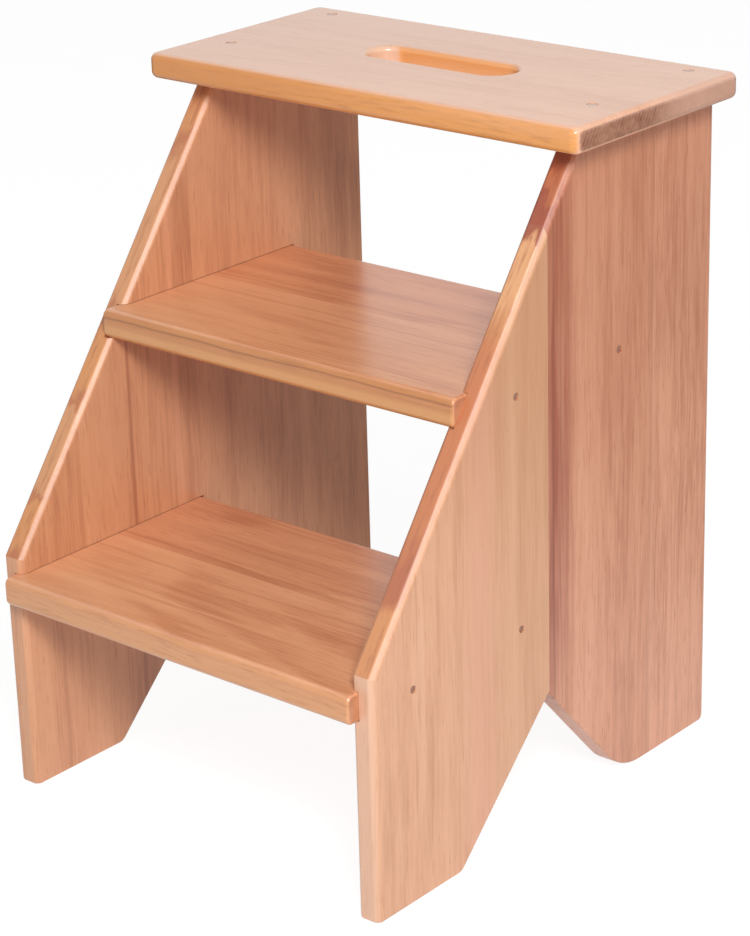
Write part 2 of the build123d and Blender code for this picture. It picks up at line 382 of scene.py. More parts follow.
@dataclass(frozen=True)
class Figure:
    """A noise pattern whose cells are long in the direction of the fibres.

    Fine and slow are its cells per metre across and along the fibres. Detail and roughness are the number
    and the weight of its finer octaves, and shift moves it away from the board's other patterns.
    """

    fine: float
    slow: float
    detail: float
    roughness: float
    shift: float = 0.0


class Grain:
    """The patterns that all the boards share."""

    STREAKS = Figure(fine=90.0, slow=4.5, detail=3.0, roughness=0.6)
    RING_SWAY = Figure(fine=7.0, slow=3.0, detail=2.0, roughness=0.5, shift=1.3)
    PORES = Figure(fine=900.0, slow=55.0, detail=1.0, roughness=0.5, shift=3.3)
    STRIPE_SWAY = Figure(fine=9.0, slow=7.0, detail=3.0, roughness=0.6, shift=4.1)
    SPECKS = Figure(fine=240.0, slow=60.0, detail=3.0, roughness=0.65, shift=5.7)
    BANDS = Figure(fine=26.0, slow=1.6, detail=2.0, roughness=0.5, shift=7.1)
    PATCHES = Figure(fine=45.0, slow=8.0, detail=2.0, roughness=0.5, shift=8.9)
    RING_DIP = Figure(fine=7.0, slow=3.0, detail=2.0, roughness=0.5, shift=9.7)
    HAIRS = Figure(fine=560.0, slow=22.0, detail=3.0, roughness=0.65, shift=11.3)
    LINES = Figure(fine=210.0, slow=4.0, detail=2.0, roughness=0.5, shift=13.9)
    CLUSTERS = Figure(fine=14.0, slow=2.2, detail=1.0, roughness=0.5, shift=15.1)
    MOTTLE = Figure(fine=48.0, slow=17.0, detail=3.0, roughness=0.6, shift=17.7)
    FLECKS = Figure(fine=430.0, slow=38.0, detail=3.0, roughness=0.6, shift=19.3)
    THREADS = Figure(fine=170.0, slow=5.0, detail=3.0, roughness=0.6, shift=21.7)


class BoardSpace:
    """Places and directions in one board, as wires of its material."""

    # How far the fibres waver in metres, and their waves per metre across and along the board
    WAVER = 0.014
    WAVES_ACROSS = 5.0
    WAVES_ALONG = 2.6

    # How much of a pattern's shift goes through and along the board
    SHIFT_THROUGH = 1.7
    SHIFT_ALONG = 2.3

    def __init__(self, bench: Bench, run: GrainRun, seed: float) -> None:
        """Read the place and the facing of the surface.

        Args:
            bench: Where the nodes go.
            run: The way the fibres run.
            seed: Shifts every pattern of the board.
        """
        self.bench = bench
        self.seed = seed
        place = bench.add("ShaderNodeTexCoord", None, None, "Object")
        normal = bench.add("ShaderNodeTexCoord", None, None, "Normal")
        self.place = [bench.add("ShaderNodeSeparateXYZ", None, {0: place}, axis) for axis in run.value]
        self.facing = [bench.add("ShaderNodeSeparateXYZ", None, {0: normal}, axis) for axis in run.value]
        self.fibre = self._bent_fibres()

    def _bent_fibres(self) -> list[Wire]:
        """Measure places from slightly wavy fibres instead of straight ones.

        Returns:
            The place along, across and through the board.
        """
        along, across, through = self.place
        waves = self.bench.vector(across * self.WAVES_ACROSS + self.seed, through * self.WAVES_ACROSS,
                                  along * self.WAVES_ALONG + self.seed)
        sway = self.bench.noise(waves).swing() * self.WAVER
        return [along, across + sway, through + sway]

    def at(self, way: BoardWay) -> Wire:
        """Place in one direction of the board."""
        return self.place[way.value]

    def faces(self, way: BoardWay) -> Wire:
        """Part of the surface's facing in one direction of the board."""
        return self.facing[way.value]

    def noise(self, figure: Figure) -> Wire:
        """Lay a pattern along the fibres.

        Args:
            figure: The pattern.

        Returns:
            Noise from 0 to 1.
        """
        along, across, through = self.fibre
        start = self.seed + figure.shift
        place = self.bench.vector(across * figure.fine + start,
                                  through * figure.fine + self.SHIFT_THROUGH * start,
                                  along * figure.slow + self.SHIFT_ALONG * start)
        return self.bench.noise(place, figure.detail, figure.roughness)


@dataclass(frozen=True)
class WoodFinish:
    """Clear satin lacquer on one board of pinkish hardwood."""

    name: str
    run: GrainRun
    sawing: Sawing
    pale: Colour
    middle: Colour
    dark: Colour
    end: Colour
    band_gain: float = 0.7
    streak_gain: float = 0.6
    hair_gain: float = 0.6
    mottle_gain: float = 0.26
    line_share: float = 0.34
    ring_gain: float = 0.10
    end_ring_gain: float = 0.45
    pore_share: float = 0.45
    stripes: tuple[Stripe, ...] = ()
    slant_tones: tuple[tuple[float, Colour], ...] = ()
    slant_flame: Colour = srgb(146, 72, 34)
    front_tone: Colour | None = None
    front_fleck: Colour = srgb(158, 92, 42)
    roughness: float = 0.52
    coat: float = 1.0
    coat_roughness: float = 0.44
    coat_ior: float = 1.6

    # Where a pattern's noise starts and ends to show
    PORE_SPAN = (0.62, 0.72)
    CLUSTER_SPAN = (0.36, 0.62)
    DARK_LINE_SPAN = (0.56, 0.70)
    PALE_LINE_SPAN = (0.42, 0.30)
    FLECK_SPAN = (0.48, 0.72)
    PATCH_SPAN = (0.30, 0.65)
    THREAD_SPAN = (0.40, 0.62)
    FLAME_SPAN = (0.46, 0.70)
    LATE_RISE = (0.1, 0.75)
    LATE_FALL = (1.0, 0.78)

    # Where a face's direction starts and ends to count
    END_FACING = (0.80, 0.96)
    FRONT_FACING = (-0.40, -0.85)
    SLANT_UP_FACING = (0.34, 0.50)
    SLANT_FRONT_FACING = (-0.45, -0.70)
    SHOWN_FACING = {
        Shown.UP: (BoardWay.THROUGH, (0.70, 0.95)),
        Shown.FRONT: (BoardWay.ACROSS, (-0.45, -0.85)),
        Shown.END: (BoardWay.ALONG, (0.10, 0.45)),
    }

    # Weights of the patterns in the tones
    LATE_MEAN = 0.4
    MEAN_TONE = 0.5
    PALE_STOP = 0.15
    DARK_STOP = 0.9
    PALE_LINE_SHARE = 0.6
    FRONT_SHARE = 0.90
    FRONT_STREAK_GAIN = 0.8
    FLECK_SHARE = 0.40
    END_TONE = 0.75
    SPECK_GAIN = 0.5
    PATCH_GAIN = 0.4
    BEHIND_FADE = 0.003
    FLAME_SHARE = 0.6
    SLANT_MOTTLE_GAIN = 0.14
    SLANT_SHARE = 0.9

    # Cells per metre across, through and along the slanted edge, and number and weight of finer octaves
    FLAME_CELLS = (45.0, 330.0, 20.0)
    FLAME_OCTAVES = (4.0, 0.65)
    SLANT_MOTTLE_CELLS = (60.0, 120.0, 25.0)
    SLANT_MOTTLE_OCTAVES = (3.0, 0.6)

    # Weights of the patterns in the gloss and the relief
    PORE_ROUGHNESS = 0.10
    STREAK_ROUGHNESS = 0.16
    END_ROUGHNESS = 0.08
    STREAK_HEIGHT = 0.6
    PORE_DEPTH = 0.8
    LATE_HEIGHT = 0.2
    RELIEF = {"Strength": 0.22, "Distance": 0.0002}
    WOOD_IOR = 1.5

    def material(self) -> bpy.types.Material:
        """Build the material.

        Returns:
            The finished node material.
        """
        material, bench = new_material(self.name)
        space = BoardSpace(bench, self.run, self.sawing.seed)
        late = self._late_wood(space)
        streaks = space.noise(Grain.STREAKS)
        pores = space.noise(Grain.PORES).ease(*self.PORE_SPAN)
        end = abs(space.faces(BoardWay.ALONG)).ease(*self.END_FACING)

        colour = self._long_grain(space, late, streaks, pores)
        colour = bench.mix(end, colour, self._end_grain(space, late))
        if self.front_tone:
            colour = self._front_edge(space, colour, streaks)
        for stripe in self.stripes:
            colour = bench.mix(self._stripe_mask(space, stripe) * stripe.share, colour, stripe.tint)
        if self.slant_tones:
            colour = self._slant_edge(space, colour)

        rough = self.roughness + pores * self.PORE_ROUGHNESS
        rough = rough + streaks.swing() * self.STREAK_ROUGHNESS + end * self.END_ROUGHNESS
        height = streaks * self.STREAK_HEIGHT - pores * self.PORE_DEPTH + late * self.LATE_HEIGHT
        shader = bench.add("ShaderNodeBsdfPrincipled", None, {
            "Base Color": colour,
            "Roughness": rough,
            "Normal": bench.add("ShaderNodeBump", None, {**self.RELIEF, "Height": height}),
            "IOR": self.WOOD_IOR,
            "Coat Weight": self.coat,
            "Coat Roughness": self.coat_roughness,
            "Coat IOR": self.coat_ior,
        })
        bench.add("ShaderNodeOutputMaterial", None, {"Surface": shader})
        return material

    def _long_grain(self, space: BoardSpace, late: Wire, streaks: Wire, pores: Wire) -> Wire:
        """Colour the faces that run with the fibres.

        Args:
            space: Places in the board.
            late: Share of late wood.
            streaks: Fine streaks along the board.
            pores: Short open pores.

        Returns:
            The colour.
        """
        bench = space.bench
        bands = space.noise(Grain.BANDS)
        hairs = space.noise(Grain.HAIRS)
        mottle = space.noise(Grain.MOTTLE)
        lines = space.noise(Grain.LINES)
        clusters = space.noise(Grain.CLUSTERS).ease(*self.CLUSTER_SPAN)
        tone = self.MEAN_TONE + bands.swing() * self.band_gain + streaks.swing() * self.streak_gain
        tone = tone + hairs.swing() * self.hair_gain + mottle.swing() * self.mottle_gain
        tone = tone + (late - self.LATE_MEAN) * self.ring_gain
        stops = [(self.PALE_STOP, self.pale), (self.MEAN_TONE, self.middle), (self.DARK_STOP, self.dark)]
        colour = bench.ramp(tone, stops)
        dark_lines = lines.ease(*self.DARK_LINE_SPAN) * clusters * self.line_share
        colour = bench.mix(dark_lines, colour, self.dark)
        pale_lines = lines.ease(*self.PALE_LINE_SPAN) * (self.line_share * self.PALE_LINE_SHARE)
        colour = bench.mix(pale_lines, colour, self.pale)
        return bench.mix(pores * self.pore_share, colour, self.dark)

    def _front_edge(self, space: BoardSpace, colour: Wire, streaks: Wire) -> Wire:
        """Lay the golden tone of a front edge over a colour.

        Args:
            space: Places in the board.
            colour: Colour of the rest of the board.
            streaks: Fine streaks along the board.

        Returns:
            The colour with the front edge in it.
        """
        front = space.faces(BoardWay.ACROSS).ease(*self.FRONT_FACING)
        flecks = space.noise(Grain.FLECKS).ease(*self.FLECK_SPAN)
        share = self.FRONT_SHARE + streaks.swing() * self.FRONT_STREAK_GAIN
        tone = space.bench.mix(flecks * self.FLECK_SHARE, self.front_tone, self.front_fleck)
        return space.bench.mix(front * share, colour, tone)

    def _end_grain(self, space: BoardSpace, late: Wire) -> Wire:
        """Colour the sawn ends, where the rings show as fine lines.

        Args:
            space: Places in the board.
            late: Share of late wood.

        Returns:
            The colour.
        """
        specks = space.noise(Grain.SPECKS)
        patches = space.noise(Grain.PATCHES)
        rings = (late - self.LATE_MEAN) * self.end_ring_gain * patches.ease(*self.PATCH_SPAN)
        tone = self.END_TONE + rings
        tone = tone + specks.swing() * self.SPECK_GAIN + patches.swing() * self.PATCH_GAIN
        return space.bench.ramp(tone, [(0.0, self.middle), (1.0, self.end)])

    def _late_wood(self, space: BoardSpace) -> Wire:
        """Share of dark late wood from the growth rings around the pith.

        Args:
            space: Places in the board.

        Returns:
            The share, from 0 to 1.
        """
        saw = self.sawing
        along, across, through = space.place
        sway = space.noise(Grain.RING_SWAY).swing() * saw.wander
        dip = space.noise(Grain.RING_DIP).swing() * saw.wander
        side = across - saw.pith_across - along * saw.lean_across + sway
        deep = through - saw.pith_through - along * saw.lean_through + dip
        season = ((side * side + deep * deep).root() * saw.rings_per_metre).fraction()
        return season.ease(*self.LATE_RISE) * season.ease(*self.LATE_FALL)

    def _stripe_mask(self, space: BoardSpace, stripe: Stripe) -> Wire:
        """Find where a stripe shows.

        Args:
            space: Places in the board.
            stripe: The stripe.

        Returns:
            One inside the stripe, fading to zero outside it.
        """
        place = space.at(stripe.way)
        if stripe.sway:
            place = place + space.noise(Grain.STRIPE_SWAY).swing() * stripe.sway
        inside = place.ease(stripe.start - stripe.soft, stripe.start + stripe.soft)
        inside = inside * place.ease(stripe.end + stripe.soft_end, stripe.end - stripe.soft_end)
        if stripe.shown in self.SHOWN_FACING:
            way, span = self.SHOWN_FACING[stripe.shown]
            inside = inside * space.faces(way).ease(*span)
        if stripe.streaky:
            threads = space.noise(Grain.THREADS).ease(*self.THREAD_SPAN)
            inside = inside * (1.0 - threads * stripe.streaky)
        if stripe.behind is not None:
            across = space.at(BoardWay.ACROSS)
            inside = inside * across.ease(stripe.behind, stripe.behind + self.BEHIND_FADE)
        return inside * space.at(BoardWay.ALONG).ease(stripe.low, stripe.high)

    def _slant_edge(self, space: BoardSpace, colour: Wire) -> Wire:
        """Colour a side's slanted front edge, which cuts across the fibres at an angle.

        Args:
            space: Places in the board.
            colour: Colour of the rest of the board.

        Returns:
            The colour with the slanted edge in it.
        """
        bench = space.bench
        seed = self.sawing.seed
        along, across, through = space.place
        wide, deep, long = self.FLAME_CELLS
        cut = bench.vector(across * wide + seed, through * deep, along * long)
        flames = bench.noise(cut, *self.FLAME_OCTAVES)
        wide, deep, long = self.SLANT_MOTTLE_CELLS
        broad = bench.vector(across * wide, through * deep + seed, along * long)
        mottle = bench.noise(broad, *self.SLANT_MOTTLE_OCTAVES)
        rise = (along - SLANT_LOW_Z) * (1.0 / (SLANT_HIGH_Z - SLANT_LOW_Z))
        tones = bench.ramp(rise + mottle.swing() * self.SLANT_MOTTLE_GAIN, list(self.slant_tones))
        tones = bench.mix(flames.ease(*self.FLAME_SPAN) * self.FLAME_SHARE, tones, self.slant_flame)
        up = space.faces(BoardWay.ALONG).ease(*self.SLANT_UP_FACING)
        front = space.faces(BoardWay.ACROSS).ease(*self.SLANT_FRONT_FACING)
        return bench.mix(up * front * self.SLANT_SHARE, colour, tones)


@dataclass(frozen=True)
class SteelFinish:
    """Zinc-plated steel of the screws."""

    name: str = "plated_steel"
    bright: Colour = (0.62, 0.62, 0.60)
    dull: Colour = (0.44, 0.45, 0.45)
    cells_per_metre: float = 900.0
    octaves: Span = (3.0, 0.6)
    smoothest: float = 0.28
    roughness_range: float = 0.18

    def material(self) -> bpy.types.Material:
        """Build the material.

        Returns:
            The finished node material.
        """
        material, bench = new_material(self.name)
        place = bench.add("ShaderNodeTexCoord", None, None, "Object")
        scaled = bench.add("ShaderNodeVectorMath", {"operation": "SCALE"},
                           {0: place, "Scale": self.cells_per_metre})
        cloud = bench.noise(scaled, *self.octaves)
        shader = bench.add("ShaderNodeBsdfPrincipled", None, {
            "Base Color": bench.mix(cloud, self.dull, self.bright),
            "Metallic": 1.0,
            "Roughness": self.smoothest + cloud * self.roughness_range,
        })
        bench.add("ShaderNodeOutputMaterial", None, {"Surface": shader})
        return material


def dress_node(node: str, material: bpy.types.Material) -> None:
    """Give a CAD node its finish.

    Args:
        node: Name of the node.
        material: The finish.
    """
    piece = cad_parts[node]
    for slot in piece.material_slots:
        slot.material = material
    LOG.info("%s dressed in %s", node, material.name)


@dataclass(frozen=True)
class WoodTones:
    """The pale, middle and dark tone of one board."""

    pale: Colour
    middle: Colour
    dark: Colour


@dataclass
class TopBoard:
    """The top step: one wide board with a hand slot.

    Stripes along its whole length stop past its end, and those in the slot start at slot_zone_y.
    """

    node: str = "top_board"
    past_end_x: float = 0.2
    slot_zone_y: float = 0.05

    def finish(self) -> WoodFinish:
        """Finish of the board, with golden edges and a paler rear on its right end.

        Returns:
            The finish.
        """
        golden_edge = Stripe(-self.past_end_x, -0.02, srgb(202, 122, 34), 0.60, soft=0.001, soft_end=0.11,
                             way=BoardWay.ALONG, shown=Shown.FRONT)
        slot_wall = Stripe(-self.past_end_x, self.past_end_x, srgb(240, 166, 100), 0.85,
                           way=BoardWay.ALONG, shown=Shown.FRONT, behind=self.slot_zone_y)
        slot_end = Stripe(-0.08, -0.045, srgb(246, 202, 168), 0.9, soft=0.001, soft_end=0.010,
                          way=BoardWay.ALONG, shown=Shown.END)
        pale_end = Stripe(0.11, 0.20, srgb(220, 172, 148), 0.66, soft=0.035, soft_end=0.001,
                          shown=Shown.END)
        return WoodFinish(
            name="top_board_wood",
            run=GrainRun.CROSSWISE,
            sawing=Sawing(seed=3.1, pith_across=-0.85, pith_through=1.05, lean_across=0.03,
                          lean_through=0.02, rings_per_metre=300.0, wander=0.012),
            pale=srgb(243, 190, 156),
            middle=srgb(239, 181, 146),
            dark=srgb(212, 148, 108),
            end=srgb(120, 64, 36),
            ring_gain=0.05,
            end_ring_gain=0.15,
            band_gain=0.5,
            streak_gain=0.4,
            mottle_gain=0.3,
            line_share=0.14,
            hair_gain=0.45,
            front_tone=srgb(220, 146, 68),
            stripes=(golden_edge, slot_wall, slot_end, pale_end),
            roughness=0.80,
            coat_roughness=0.20,
        )

    def dress(self) -> None:
        """Give the board its finish."""
        dress_node(self.node, self.finish().material())


@dataclass
class Tread:
    """A tread of two staves that are glued edge to edge.

    The sides stand against it behind side_y, and the ring line runs along its front edge.
    """

    name: str
    side_y: float
    seed: float
    front_wood: WoodTones
    rear_wood: WoodTones
    front_tone: Colour
    ring_line_share: float

    PALE_HALF_SHARE = 0.8

    @property
    def joint_y(self) -> float:
        """Place of the glue joint."""
        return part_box(f"{self.name}_front_stave")[1].y

    @property
    def top_z(self) -> float:
        """Height of the walking face."""
        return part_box(f"{self.name}_front_stave")[1].z

    def _glue_line_and_crease_shade(self) -> tuple[Stripe, ...]:
        """A thin dark line at the glue joint, and painted shade in thin dark lines along both sides,
        where the sides stand against the tread.

        Returns:
            The stripes.
        """
        half_joint = 0.0003
        glue = Stripe(self.joint_y - half_joint, self.joint_y + half_joint, srgb(150, 82, 44), 0.30,
                      soft=half_joint, soft_end=half_joint)
        # Painted shade: thin dark lines in the creases where the tread meets the sides
        crease_shade_tone = srgb(120, 66, 38)
        inner = SIDE_INNER_X - 0.0008
        outer = SIDE_INNER_X + 0.0002
        at_side = {"way": BoardWay.ALONG, "shown": Shown.UP, "behind": self.side_y}
        left_crease_shade = Stripe(-outer, -inner, crease_shade_tone, 0.6, soft=0.0003, soft_end=0.0006, **at_side)
        right_crease_shade = Stripe(inner, outer, crease_shade_tone, 0.6, soft=0.0006, soft_end=0.0003, **at_side)
        return glue, left_crease_shade, right_crease_shade

    def _front_stripes(self) -> tuple[Stripe, ...]:
        """Tones of the front stave: a paler left end, a thin wave, and the rings on its front edge.

        Returns:
            The stripes.
        """
        pale_end = Stripe(-0.160, -0.060, srgb(240, 180, 134), 0.35, soft=0.001, soft_end=0.060,
                          way=BoardWay.ALONG, shown=Shown.UP)
        thin_wave = Stripe(self.joint_y - 0.022, self.joint_y - 0.020, srgb(176, 100, 60), 0.35,
                           soft=0.001, soft_end=0.001, sway=0.014)
        in_front = {"way": BoardWay.THROUGH, "shown": Shown.FRONT}
        ring_line = Stripe(self.top_z - 0.0056, self.top_z - 0.0042, srgb(128, 66, 20),
                           self.ring_line_share, soft=0.0010, soft_end=0.0006, sway=0.007, **in_front)
        pale_half = Stripe(self.top_z - 0.0190, self.top_z - 0.0110, srgb(222, 162, 98),
                           self.PALE_HALF_SHARE * self.ring_line_share, sway=0.004, **in_front)
        return pale_end, thin_wave, ring_line, pale_half

    def _rear_stripes(self) -> tuple[Stripe, ...]:
        """Darker waves in the rear stave.

        Returns:
            The stripes.
        """
        dusky = srgb(176, 100, 60)
        wave = Stripe(self.joint_y + 0.006, self.joint_y + 0.009, dusky, 0.35,
                      soft=0.002, soft_end=0.001, sway=0.014)
        band = Stripe(self.joint_y + 0.030, self.joint_y + 0.044, dusky, 0.22,
                      soft=0.008, soft_end=0.003, sway=0.020)
        return wave, band

    def finishes(self) -> dict[str, WoodFinish]:
        """Finish of each stave.

        Returns:
            Finish by stave.
        """
        glue_and_crease_shade = self._glue_line_and_crease_shade()
        sawn = {"rings_per_metre": 70.0, "wander": 0.06}
        common = {"run": GrainRun.CROSSWISE, "end": srgb(178, 110, 70), "line_share": 0.5,
                  "hair_gain": 0.7, "roughness": 0.70, "coat_roughness": 0.24}
        return {
            "front_stave": WoodFinish(
                name=f"{self.name}_front_wood",
                sawing=Sawing(self.seed, self.joint_y - 0.02, self.top_z - 0.16,
                              lean_across=0.10, lean_through=0.14, **sawn),
                ring_gain=0.16, front_tone=self.front_tone,
                stripes=(*self._front_stripes(), *glue_and_crease_shade), **asdict(self.front_wood), **common),
            "rear_stave": WoodFinish(
                name=f"{self.name}_rear_wood",
                sawing=Sawing(self.seed + 5.3, self.joint_y + 0.05, self.top_z - 0.22,
                              lean_across=0.12, lean_through=-0.10, **sawn),
                ring_gain=0.18,
                stripes=(*self._rear_stripes(), *glue_and_crease_shade), **asdict(self.rear_wood), **common),
        }

    def dress(self) -> None:
        """Give both staves their finish."""
        for stave, finish in self.finishes().items():
            dress_node(f"{self.name}_{stave}", finish.material())


@dataclass
class SidePanel:
    """One side of three upright boards that are glued edge to edge."""

    hand: Hand
    seed: float
    coat: float = 0.80

    # Each board's own shift of the seed, and its pith across and through the board
    SAWN = {
        SideBoard.FRONT: (0.0, -0.06, 0.75),
        SideBoard.MIDDLE: (2.9, 0.09, 0.82),
        SideBoard.REAR: (6.1, 0.19, 0.78),
    }

    def _board(self, board: SideBoard, **looks: Any) -> WoodFinish:
        """Finish of one board.

        Args:
            board: The board.
            **looks: What sets this board's wood apart.

        Returns:
            The finish.
        """
        shift, across, through = self.SAWN[board]
        return WoodFinish(
            name=f"{self.hand.value}_side_{board.value.replace('_board', '_wood')}",
            run=GrainRun.UPRIGHT,
            sawing=Sawing(self.seed + shift, across, self.hand.outward * through),
            coat=self.coat,
            **looks)

    def finishes(self) -> dict[SideBoard, WoodFinish]:
        """Finish of each board.

        Returns:
            Finish by board.
        """
        if self.hand is Hand.RIGHT:
            return self._near_finishes()
        return self._far_finishes()

    @staticmethod
    def _heart_stripes() -> tuple[Stripe, ...]:
        """Dark heartwood beside the front joint, with two darker lines in it.

        Returns:
            The stripes.
        """
        line = srgb(108, 46, 24)
        heartwood = Stripe(FRONT_JOINT_Y - 0.002, FRONT_JOINT_Y + 0.024, srgb(146, 58, 22), 0.88,
                           soft=0.0005, soft_end=0.013, sway=0.016, low=0.02, high=0.20, streaky=0.45)
        heart_line = Stripe(FRONT_JOINT_Y + 0.005, FRONT_JOINT_Y + 0.007, line, 0.45,
                            soft=0.001, soft_end=0.001, sway=0.008)
        fine_line = Stripe(FRONT_JOINT_Y + 0.014, FRONT_JOINT_Y + 0.015, line, 0.40,
                           soft=0.0008, soft_end=0.0008, sway=0.010)
        return heartwood, heart_line, fine_line

    @staticmethod
    def _rear_seams() -> tuple[Stripe, ...]:
        """A pale and a dark line at the rear joint.

        Returns:
            The stripes.
        """
        pale_seam = Stripe(REAR_JOINT_Y - 0.0002, REAR_JOINT_Y + 0.0012, srgb(226, 176, 144), 0.30,
                           soft=0.0004, soft_end=0.0004)
        dark_seam = Stripe(REAR_JOINT_Y - 0.005, REAR_JOINT_Y - 0.0004, srgb(176, 116, 86), 0.25,
                           soft=0.003, soft_end=0.0004)
        return pale_seam, dark_seam

    @staticmethod
    def _front_stripes() -> tuple[Stripe, ...]:
        """Tan, pink and pale bands of the front board, and painted shade that darkens its top.

        Returns:
            The stripes.
        """
        tan_side = Stripe(-0.060, FRONT_JOINT_Y + 0.004, srgb(202, 148, 106), 0.38,
                          soft=0.035, soft_end=0.001, sway=0.02)
        pink_band = Stripe(-0.086, -0.060, srgb(220, 154, 126), 0.45,
                           soft=0.014, soft_end=0.010, sway=0.012)
        pale_band = Stripe(-0.040, -0.034, srgb(230, 182, 144), 0.30, soft=0.003, sway=0.006)
        # Painted shade that darkens the upper part of the board
        front_top_painted_shade = Stripe(0.28, 0.49, srgb(184, 126, 84), 0.35, soft=0.09, soft_end=0.001,
                            way=BoardWay.ALONG)
        return tan_side, pink_band, pale_band, front_top_painted_shade

    def _near_finishes(self) -> dict[SideBoard, WoodFinish]:
        """Finish of each board of the right side.

        Returns:
            Finish by board.
        """
        golden = srgb(202, 132, 78)
        orange = srgb(190, 110, 62)
        red = srgb(168, 86, 46)
        rust = srgb(174, 94, 48)
        cream = srgb(220, 160, 110)
        brown_and_overhang_shade = srgb(144, 56, 18)
        lower_slant = ((0.0, golden), (0.11, golden), (0.15, red), (0.21, red), (0.26, orange),
                       (0.60, orange), (0.66, golden), (0.71, cream), (0.80, cream), (0.82, brown_and_overhang_shade))
        # The last stop, brown from 0.96 up to the top board, is painted shade under the top board's
        # overhang; the other brown stops are the wood's own tone
        upper_slant_and_shade = ((0.84, brown_and_overhang_shade), (0.88, brown_and_overhang_shade), (0.895, rust), (0.93, rust), (0.96, brown_and_overhang_shade))
        end = {"end": srgb(190, 124, 86)}
        # Painted shade that darkens the upper part of the middle and rear boards
        upper_painted_shade = Stripe(0.30, 0.49, srgb(172, 100, 66), 0.26, soft=0.10, soft_end=0.001,
                            way=BoardWay.ALONG)
        rear = {"dark": srgb(174, 103, 70), "hair_gain": 0.75, "pore_share": 0.5,
                "stripes": (*self._heart_stripes(), *self._rear_seams(), upper_painted_shade)}
        return {
            SideBoard.FRONT: self._board(
                SideBoard.FRONT, pale=srgb(228, 174, 138), middle=srgb(219, 162, 124),
                dark=srgb(192, 130, 92), slant_tones=lower_slant, stripes=self._front_stripes(),
                line_share=0.60, streak_gain=0.8, front_tone=srgb(224, 178, 148),
                front_fleck=srgb(204, 148, 112), **end),
            SideBoard.MIDDLE: self._board(
                SideBoard.MIDDLE, pale=srgb(225, 162, 128), middle=srgb(214, 148, 113),
                slant_tones=upper_slant_and_shade, **rear, **end),
            SideBoard.REAR: self._board(
                SideBoard.REAR, pale=srgb(231, 169, 136), middle=srgb(221, 156, 122), **rear, **end),
        }

    def _far_finishes(self) -> dict[SideBoard, WoodFinish]:
        """Finish of each board of the left side.

        Returns:
            Finish by board.
        """
        golden = srgb(210, 140, 80)
        tan = srgb(210, 147, 98)
        brown_and_overhang_shade = srgb(178, 102, 56)
        # The last stop, brown at the top of the slanted edge, is painted shade under the top board's
        # overhang; the other brown stops are the wood's own tone
        far_slant_and_shade = ((0.0, brown_and_overhang_shade), (0.03, golden), (0.11, golden), (0.13, brown_and_overhang_shade), (0.15, tan), (0.30, tan),
                 (0.32, brown_and_overhang_shade), (0.35, golden), (0.46, golden), (0.48, brown_and_overhang_shade), (0.52, tan), (0.80, tan),
                 (0.86, brown_and_overhang_shade), (0.90, golden), (1.0, brown_and_overhang_shade))
        dark_line = Stripe(-0.0705, -0.0675, srgb(160, 92, 62), 0.6,
                           soft=0.0012, soft_end=0.0012, sway=0.002)
        pale_line = Stripe(-0.024, -0.018, srgb(228, 164, 126), 0.5, sway=0.003)
        stripes = {SideBoard.FRONT: (dark_line, pale_line)}
        return {
            board: self._board(
                board, pale=srgb(221, 161, 120), middle=srgb(211, 149, 108), dark=srgb(175, 111, 77),
                end=srgb(190, 120, 80), slant_tones=far_slant_and_shade, hair_gain=0.7, stripes=stripes.get(board, ()))
            for board in SideBoard
        }

    def dress(self) -> None:
        """Give the boards their finish."""
        for board, finish in self.finishes().items():
            dress_node(f"{self.hand.value}_side_{board.value}", finish.material())


